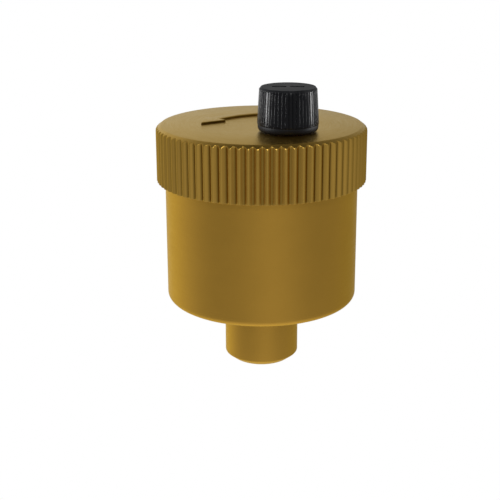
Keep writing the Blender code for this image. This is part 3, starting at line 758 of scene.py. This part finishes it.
def make_arrow(size):
    """Raise the turn arrow. The groove attribute paints shade on all but its top."""
    high = COVER_HIGH[2]
    arrow = extruded_mesh("cover_turn_arrow", arrow_outline(size),
                          high - size.arrow_height - 0.0003, high)
    bevelled(arrow, 0.00015)
    film_and_shade = arrow.data.attributes.new("groove", "FLOAT", "POINT")
    for vert in arrow.data.vertices:
        # painted shade on the arrow's sides, in the tarnish colour
        film_and_shade.data[vert.index].value = 1.25 if vert.co.z < high - EDGE else 0.0
    return arrow


class VENT_OT_cover(Operator):
    """Turn the screw cover, knurl its side and raise the turn arrow"""
    bl_idname = "vent.cover"
    bl_label = "Knurled cover"

    def execute(self, context):
        size, cup = context.scene.vent_cover, context.scene.vent_cup
        cover = turned_mesh("cover_body", cover_section(size, cup), size.ribs * 16,
                            closed=False)
        top = COVER_HIGH[2] - size.arrow_height
        cut_with(cover, [rod("hole", HOLE_RADIUS, top - size.plate - 0.001, top + 0.001,
                             48)])
        shape_by(cover, rib_tree, "cover_brass",
                 {"Count": float(size.ribs), "Start": size.rib_start,
                  "Depth": size.rib_depth}, 50)
        hand_over(cover, "cover_brass", "cover", "cover")
        hand_over(make_arrow(size), "cover_brass", "cover")
        turns = 4.0
        ridge = new_object("cover_inner_thread", bmesh.new())
        shape_by(ridge, coil_tree, "cover_brass",
                 {"Place": (0.0, 0.0, COVER_LOW[2] + 0.0022), "Turns": turns,
                  "Radius": cup.neck_radius + size.play + 0.00005,
                  "Height": turns * cup.thread_pitch, "Wire Radius": 0.00022,
                  "Sides": 6, "Steps": 96})
        hand_over(ridge, "cover_brass", "cover")
        return {"FINISHED"}


def cap_section(size):
    """Up inside the dust cap, and then from its lower edge over the skirt, the ribs
    and the bevel to the middle of its top."""
    low, top = CAP_LOW[2], CAP_HIGH[2]
    seal_top, seat_r = SEAL_HIGH[2] + 0.0003, 0.0035
    hollow = [(0.0, seal_top), (seat_r, seal_top), (seat_r, NOZZLE_HIGH[2]),
              (size.thread_radius, NOZZLE_HIGH[2]), (size.thread_radius, low + 0.003),
              (size.cavity_radius, low + 0.0024), (size.cavity_radius, low)]
    skirt_top = low + size.skirt
    round_r, round_z = size.skirt_radius - size.foot_radius, 0.0009
    skirt = [(size.foot_radius - EDGE, low)]
    for i in range(9):
        turn = math.radians(90 * i / 8)
        skirt.append((size.foot_radius + round_r * math.sin(turn),
                      low + round_z * (1 - math.cos(turn))))
    skirt += [(size.skirt_radius, skirt_top - EDGE),
              (size.skirt_radius - EDGE / 2, skirt_top)]
    foot_r = size.rib_foot_radius - size.rib_depth
    head_r = size.rib_top_radius - size.rib_depth
    end_height, bevel, steps = 0.0002, 0.00046, 5
    rib_low, rib_top = skirt_top + end_height, top - bevel
    ribs = rib_foot(foot_r, skirt_top, end_height, steps)
    for i in range(1, steps + 1):
        t = i / steps
        ribs.append((foot_r + (head_r - foot_r) * t, rib_low + (rib_top - rib_low) * t,
                     1.0))
    slope = bevel / (size.rib_top_radius - size.face_radius)
    for i in range(1, 7):
        share = 1 - i / 6
        radius = head_r + size.rib_depth * share
        ribs.append((head_r, rib_top + slope * (size.rib_top_radius - radius), share))
    face = [(size.face_radius, top), (size.face_radius - EDGE, top), (0.003, top),
            (0.0, top)]
    return plain(hollow + skirt) + ribs + plain(face)


class VENT_OT_dust_cap(Operator):
    """Mould the ribbed dust cap with its slots and vent notches"""
    bl_idname = "vent.dust_cap"
    bl_label = "Dust cap"

    def execute(self, context):
        size = context.scene.vent_cap
        cap = turned_mesh("dust_cap", cap_section(size), size.ribs * 20,
                          centre_x=NOZZLE_X, closed=False)
        tools, gap = [], 0.0008
        for side in (-1, 1):
            reach = side * (gap + size.slot_length) / 2
            centre = (NOZZLE_X + reach * math.cos(size.slot_facing),
                      reach * math.sin(size.slot_facing), CAP_HIGH[2])
            tools.append(block("slot", (size.slot_length, size.slot_width, 0.001), centre,
                               size.slot_facing))
        # one bar cuts both notches, half as high as itself
        bar = (0.016, 0.0018, 0.0011)
        tools.append(block("notch", bar, (NOZZLE_X, 0, CAP_LOW[2]), size.notch_facing))
        cut_with(cap, tools)
        shape_by(cap, rib_tree, "cap_plastic",
                 {"Centre X": NOZZLE_X, "Count": float(size.ribs),
                  "Depth": size.rib_depth, "Crest": 9.0}, 50)
        bpy.data.collections["strip_receivers"].objects.link(cap)
        hand_over(cap, "cap_plastic", "cap", "vent_cap")
        return {"FINISHED"}


class VENT_OT_seals(Operator):
    """Mould the o-ring, the gasket, the cap's washer and the valve's seal"""
    bl_idname = "vent.seals"
    bl_label = "Rubber seals"

    def execute(self, context):
        wire = (O_RING_HIGH[2] - O_RING_LOW[2]) / 2
        middle = (O_RING_HIGH[2] + O_RING_LOW[2]) / 2
        ring = turned_mesh("o_ring", arc(O_RING_HIGH[0] - wire, middle, wire, 0, 340, 17),
                           192)
        hand_over(ring, "rubber", "cover_seal", "cover_o_ring")
        for name, node, body, low, high, inner, edge in (
                ("gasket", "nozzle_gasket", "cover", GASKET_LOW, GASKET_HIGH, HOLE_RADIUS,
                 0.00012),
                ("valve_disc_seal", "valve_seal", "valve", VALVE_SEAL_LOW, VALVE_SEAL_HIGH,
                 0.0008, 0.00012),
                ("cap_washer_seal", "cap_seal", "cap_washer", SEAL_LOW, SEAL_HIGH, 0,
                 0.00015)):
            outer = (high[0] - low[0]) / 2
            corners = [(inner, low[2]), (outer, low[2]), (outer, high[2]),
                       (inner, high[2])]
            ring_shaped = inner > 0
            seal = turned_mesh(name, softened(corners, edge, closed=ring_shaped), 96,
                               centre_x=NOZZLE_X, closed=ring_shaped)
            hand_over(seal, "rubber", body, node)
        return {"FINISHED"}


def nozzle_section(size):
    """From the valve seat over the flange and the threaded shank, and down the bore."""
    seat, top = NOZZLE_LOW[2], NOZZLE_HIGH[2]
    flange_low, flange_high = seat + 0.0003, seat + 0.001
    outside = [(size.bore_radius, seat), (size.mouth_radius, seat),
               (size.mouth_radius + 0.0002, flange_low),
               (size.flange_radius - EDGE, flange_low),
               (size.flange_radius, flange_low + EDGE),
               (size.flange_radius, flange_high - EDGE),
               (size.flange_radius - EDGE, flange_high), (size.shank_radius, flange_high),
               (size.shank_radius, NUT_LOW[2] - EDGE)]
    root_r = size.shank_radius - size.thread_depth
    thread = thread_section(root_r, NUT_LOW[2], top - 0.0002, 96, 0.0003, 0.0004)
    inside = [(root_r - 0.0002, top), (size.mouth_radius, top),
              (size.mouth_radius, top - 0.003), (size.bore_radius, top - 0.0036)]
    return plain(outside) + thread + plain(inside)


class VENT_OT_nozzle(Operator):
    """Turn the threaded vent nozzle and its thin nut"""
    bl_idname = "vent.nozzle"
    bl_label = "Nozzle and nut"

    def execute(self, context):
        size = context.scene.vent_nozzle
        nozzle = turned_mesh("nozzle", nozzle_section(size), 64, centre_x=NOZZLE_X)
        shape_by(nozzle, rib_tree, "valve_brass",
                 {"Centre X": NOZZLE_X, "Turns": 1.0 / size.thread_pitch,
                  "Depth": size.thread_depth})
        hand_over(nozzle, "valve_brass", "cover", "vent_nozzle")

        flats = NUT_HIGH[1] - NUT_LOW[1]
        corner = flats / math.sqrt(3)
        outline = [(NOZZLE_X + corner * math.cos(math.radians(60 * i)),
                    corner * math.sin(math.radians(60 * i))) for i in range(6)]
        low, high = NUT_LOW[2], NUT_HIGH[2]
        nut = extruded_mesh("thin_nut", outline, low, high)
        bevel = 0.00035
        cone = [(0.0, low), (flats / 2, low), (corner + EDGE, low + bevel),
                (corner + EDGE, high - bevel), (flats / 2, high), (0.0, high)]
        cut_with(nut, [turned_mesh("cone", cone, 96, centre_x=NOZZLE_X, closed=False)],
                 "INTERSECT")
        cut_with(nut, [rod("bore", HOLE_RADIUS, low - 0.001, high + 0.001, 64)])
        hand_over(nut, "valve_brass", "cover", "nozzle_nut")
        return {"FINISHED"}


class VENT_OT_valve_spring(Operator):
    """Wind the valve's steel spring"""
    bl_idname = "vent.valve_spring"
    bl_label = "Valve spring"

    def execute(self, context):
        size = context.scene.vent_spring
        wire, free = size.wire_radius, SPRING_HIGH[2] - SPRING_LOW[2]
        spring = new_object("valve_return_spring", bmesh.new())
        shape_by(spring, coil_tree, "steel",
                 {"Place": (NOZZLE_X, 0.0, SPRING_LOW[2] + wire), "Turns": 3.0,
                  "Radius": (SPRING_HIGH[0] - SPRING_LOW[0]) / 2 - wire,
                  "Height": free - 2 * wire, "Wire Radius": wire, "Sides": 12,
                  "Steps": 40})
        hand_over(spring, "steel", "cover", "valve_spring")
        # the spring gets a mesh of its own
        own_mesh(spring)
        return {"FINISHED"}


class VENT_OT_inner_finishes(Operator):
    """Paint the float, the lever, the valve and the small steel pieces"""
    bl_idname = "vent.inner_finishes"
    bl_label = "Inner finishes"

    def execute(self, context):
        for node in ("lever_bracket", "bracket_screw_1", "bracket_screw_2", "pivot_pin",
                     "pivot_clip", "link_pin", "link_clip"):
            repaint(node, "steel")
        repaint("valve_stem", "valve_brass")
        repaint("float_lever", "acetal")
        for node in ("float_shell", "float_base", "float_yoke"):
            repaint(node, "polypropylene")
        return {"FINISHED"}


# ================= stage =================

def floor_material(tint):
    """Plain matt paper for the floor. The camera sees it evenly lit."""
    mat, tree = new_material("matt_studio_paper")
    seen = add_node(tree, "ShaderNodeLightPath").outputs["Is Camera Ray"]
    paper = add_node(tree, "ShaderNodeBsdfDiffuse", {"Color": rgba(tint, 0.6)})
    glow = add_node(tree, "ShaderNodeEmission", {"Color": (1, 1, 1, 1), "Strength": 1.0})
    both = add_node(tree, "ShaderNodeMixShader", {0: seen, 1: paper.outputs[0],
                                                  2: glow.outputs[0]})
    add_node(tree, "ShaderNodeOutputMaterial", {"Surface": both.outputs[0]})
    return mat


def soft_light(name, azimuth, height, distance, size, power, aim_z):
    """An area light that looks at the vent's axis at one height; azimuth is in degrees
    from +X."""
    lamp = bpy.data.lights.new(name, "AREA")
    lamp.shape = "RECTANGLE"
    lamp.size, lamp.size_y = size
    lamp.energy = power
    obj = bpy.data.objects.new(name, lamp)
    turn = math.radians(azimuth)
    place = Vector((distance * math.cos(turn), distance * math.sin(turn), height))
    obj.location = place
    obj.rotation_euler = (Vector((0, 0, aim_z)) - place).to_track_quat("-Z", "Y").to_euler()
    obj.visible_camera = False
    bpy.context.scene.collection.objects.link(obj)
    return obj


# The studio's light from every direction, and its soft patches: degrees from the
# camera's side, height in degrees, sharpness and strength.
SKY_LEVEL = 0.32
SKY = ((-142, 0, 2.2, 0.6), (125, 0, 6.0, 0.1), (14, -12, 9.0, 0.2), (0, 90, 3.0, -0.3),
       (180, 12, 6.0, 0.02), (0, -90, 2.4, 0.7))
# Degrees from the camera's side, and watts, of the lights.
KEY_LIGHT = (5, 1.2)
STRIPS = (("left_strip", -80, 0.1), ("right_strip", 92, 0.065))
CAMERA_AZIMUTH = 57.5           # degrees from -Y towards +X
CAMERA_DISTANCE = 0.2153        # from the cup's axis
CAMERA_HEIGHT = 0.0971
CAMERA_TILT = 15.58             # degrees down
CAMERA_LENS = 71.7
CAMERA_SHIFT = (-0.023, -0.1)


def sky_lobe(tree, direction, azimuth, height, sharpness, strength):
    """A soft patch of light in the sky, round one direction."""
    turn, up = math.radians(azimuth), math.radians(height)
    aim = (math.cos(turn) * math.cos(up), math.sin(turn) * math.cos(up), math.sin(up))
    facing = add_node(tree, "ShaderNodeVectorMath", {0: direction, 1: aim},
                      operation="DOT_PRODUCT").outputs["Value"]
    lit = add_math(tree, "POWER", add_math(tree, "MAXIMUM", facing, 0.0), sharpness)
    return add_math(tree, "MULTIPLY", lit, strength)


class VENT_OT_stage(Operator):
    """Set the floor, the soft studio light and the camera"""
    bl_idname = "vent.stage"
    bl_label = "Stage"

    def execute(self, context):
        scene = context.scene
        scene.view_settings.view_transform = "Standard"
        front = CAMERA_AZIMUTH - 90.0

        floor = turned_mesh("studio_floor", [(0.0, 0.0), (0.5, 0.0), (3.0, 0.0),
                                             (3.0, -0.01), (0.0, -0.01)], 64, closed=False)
        floor.data.materials.append(floor_material(scene.vent_colours.floor))
        floor.visible_glossy = False

        world = bpy.data.worlds.new("studio")
        world.use_nodes = True
        tree = world.node_tree
        tree.nodes.clear()
        direction = add_node(tree, "ShaderNodeTexCoord").outputs["Generated"]
        level = SKY_LEVEL
        for azimuth, height, sharpness, strength in SKY:
            level = add_math(tree, "ADD", level,
                             sky_lobe(tree, direction, front + azimuth, height, sharpness,
                                      strength))
        seen = add_node(tree, "ShaderNodeLightPath").outputs["Is Camera Ray"]
        strength = add_node(tree, "ShaderNodeMix", {0: seen, 2: level, 3: 1.0})
        sky = add_node(tree, "ShaderNodeBackground", {"Color": (1, 1, 1, 1),
                                                      "Strength": strength.outputs[0]})
        add_node(tree, "ShaderNodeOutputWorld", {"Surface": sky.outputs[0]})
        scene.world = world

        azimuth, power = KEY_LIGHT
        soft_light("key_light", front + azimuth, 0.42, 0.45, (0.05, 0.05), power, 0.05)
        # two narrow strips stand close to the dust cap and light nothing else
        receivers = bpy.data.collections.new("strip_receivers")
        for name, azimuth, power in STRIPS:
            strip = soft_light(name, front + azimuth, 0.07, 0.1, (0.014, 0.05), power, 0.068)
            strip.light_linking.receiver_collection = receivers

        lens = bpy.data.cameras.new("camera")
        lens.lens = CAMERA_LENS
        lens.sensor_width = 36.0
        lens.shift_x, lens.shift_y = CAMERA_SHIFT
        lens.clip_start = 0.01
        lens.clip_end = 20.0
        camera = bpy.data.objects.new("camera", lens)
        turn = math.radians(CAMERA_AZIMUTH)
        camera.location = (CAMERA_DISTANCE * math.sin(turn),
                           -CAMERA_DISTANCE * math.cos(turn), CAMERA_HEIGHT)
        camera.rotation_euler = (math.radians(90 - CAMERA_TILT), 0.0, turn)
        scene.collection.objects.link(camera)
        scene.camera = camera
        return {"FINISHED"}


OPERATORS = (VENT_OT_materials, VENT_OT_stage, VENT_OT_cup, VENT_OT_cover,
             VENT_OT_dust_cap, VENT_OT_seals, VENT_OT_nozzle, VENT_OT_valve_spring,
             VENT_OT_inner_finishes)


class VENT_PT_panel(Panel):
    """Lists the sizes, the colours and the operators of the air vent"""
    bl_idname = "VENT_PT_panel"
    bl_label = "Automatic air vent"
    bl_space_type = "VIEW_3D"
    bl_region_type = "UI"
    bl_category = "Air vent"

    def draw(self, context):
        for operator in OPERATORS:
            self.layout.operator(operator.bl_idname)
        for name, group in GROUPS.items():
            box = self.layout.box()
            for key in group.__annotations__:
                box.prop(getattr(context.scene, name), key)


def register():
    for group in GROUPS.values():
        bpy.utils.register_class(group)
    for operator in OPERATORS:
        bpy.utils.register_class(operator)
    bpy.utils.register_class(VENT_PT_panel)
    for name, group in GROUPS.items():
        setattr(bpy.types.Scene, name, PointerProperty(type=group))


def unregister():
    for name in GROUPS:
        delattr(bpy.types.Scene, name)
    bpy.utils.unregister_class(VENT_PT_panel)
    for operator in reversed(OPERATORS):
        bpy.utils.unregister_class(operator)
    for group in reversed(list(GROUPS.values())):
        bpy.utils.unregister_class(group)


def main():
    register()
    for operator in OPERATORS:
        name = operator.bl_idname.split(".")[1]
        if getattr(bpy.ops.vent, name)() != {"FINISHED"}:
            raise RuntimeError(operator.bl_idname + " did not finish")


if __name__ == "__main__":
    main()
